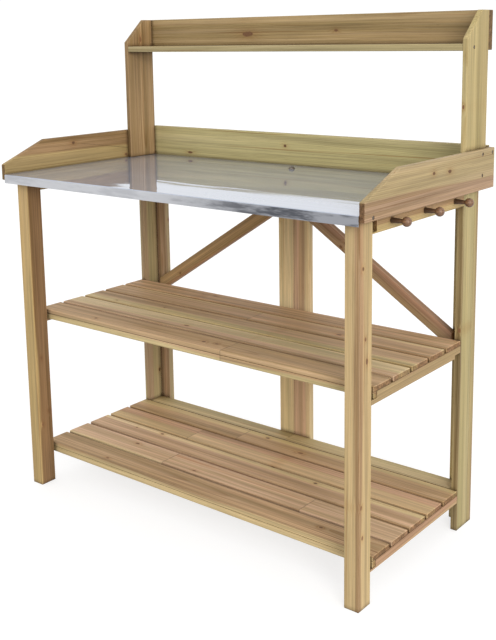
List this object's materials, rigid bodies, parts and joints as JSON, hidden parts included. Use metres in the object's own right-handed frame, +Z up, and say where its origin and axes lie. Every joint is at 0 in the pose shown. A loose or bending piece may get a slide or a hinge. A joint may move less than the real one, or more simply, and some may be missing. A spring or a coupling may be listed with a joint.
{
  "type": "potting bench",
  "caption": "Softwood potting bench with a zinc-covered worktop between side boards, a raised back with a narrow shelf, slatted shelves, back braces and turned pegs.",
  "frame": {"origin": "on the floor, midway between the outermost faces in X and Y (the pegs reach past the right-hand side board, so the origin is 8.5 mm to the right of the middle of the worktop)", "axes": "+Z up, +X to the right seen from the front, -Y towards the user at the front"},
  "size_m": [1.017, 0.516, 1.131],
  "materials": {
    "pine": "planed, pale greenish pressure-treated softwood",
    "heartwood": "planed, reddish-brown heartwood streaks in pale softwood",
    "peg": "turned, dark stained",
    "zinc": "zinc-coated sheet, satin to bright",
    "screw": "dull plated"
  },
  "bodies": {
    "root": {"front_leg_left": "pine", "front_leg_right": "pine", "back_leg_left": "pine", "back_leg_right": "pine", "corner_board_left": "pine", "corner_board_right": "pine", "centre_post_left": "heartwood", "centre_post_right": "heartwood", "upright_left": "pine", "upright_right": "pine", "side_board_left": "pine", "side_board_right": "pine", "backsplash": "pine", "top_shelf": "pine", "top_back_board": "pine", "worktop_board_1": "heartwood", "worktop_board_2": "heartwood", "worktop_board_3": "heartwood", "worktop_board_4": "heartwood", "zinc_sheet": "zinc", "sheet_pin": "screw", "front_apron": "pine", "back_apron": "pine", "peg_rail": "heartwood", "side_rail_left": "heartwood", "peg_front": "peg", "peg_middle": "peg", "peg_rear": "peg", "brace_left": "heartwood", "brace_right": "heartwood", "mid_slat_1": "heartwood", "mid_slat_2": "heartwood", "mid_slat_3": "heartwood", "mid_slat_4": "heartwood", "mid_slat_5": "heartwood", "mid_beam": "heartwood", "mid_rail_left": "pine", "mid_rail_right": "pine", "low_slat_1": "heartwood", "low_slat_2": "heartwood", "low_slat_3": "heartwood", "low_slat_4": "heartwood", "low_slat_5": "heartwood", "low_beam": "heartwood", "low_rail_left": "pine", "low_rail_right": "pine", "low_back_rail_left": "heartwood", "low_back_rail_right": "heartwood", "side_screws": "screw", "back_screws": "screw"}
  },
  "joints": []
}
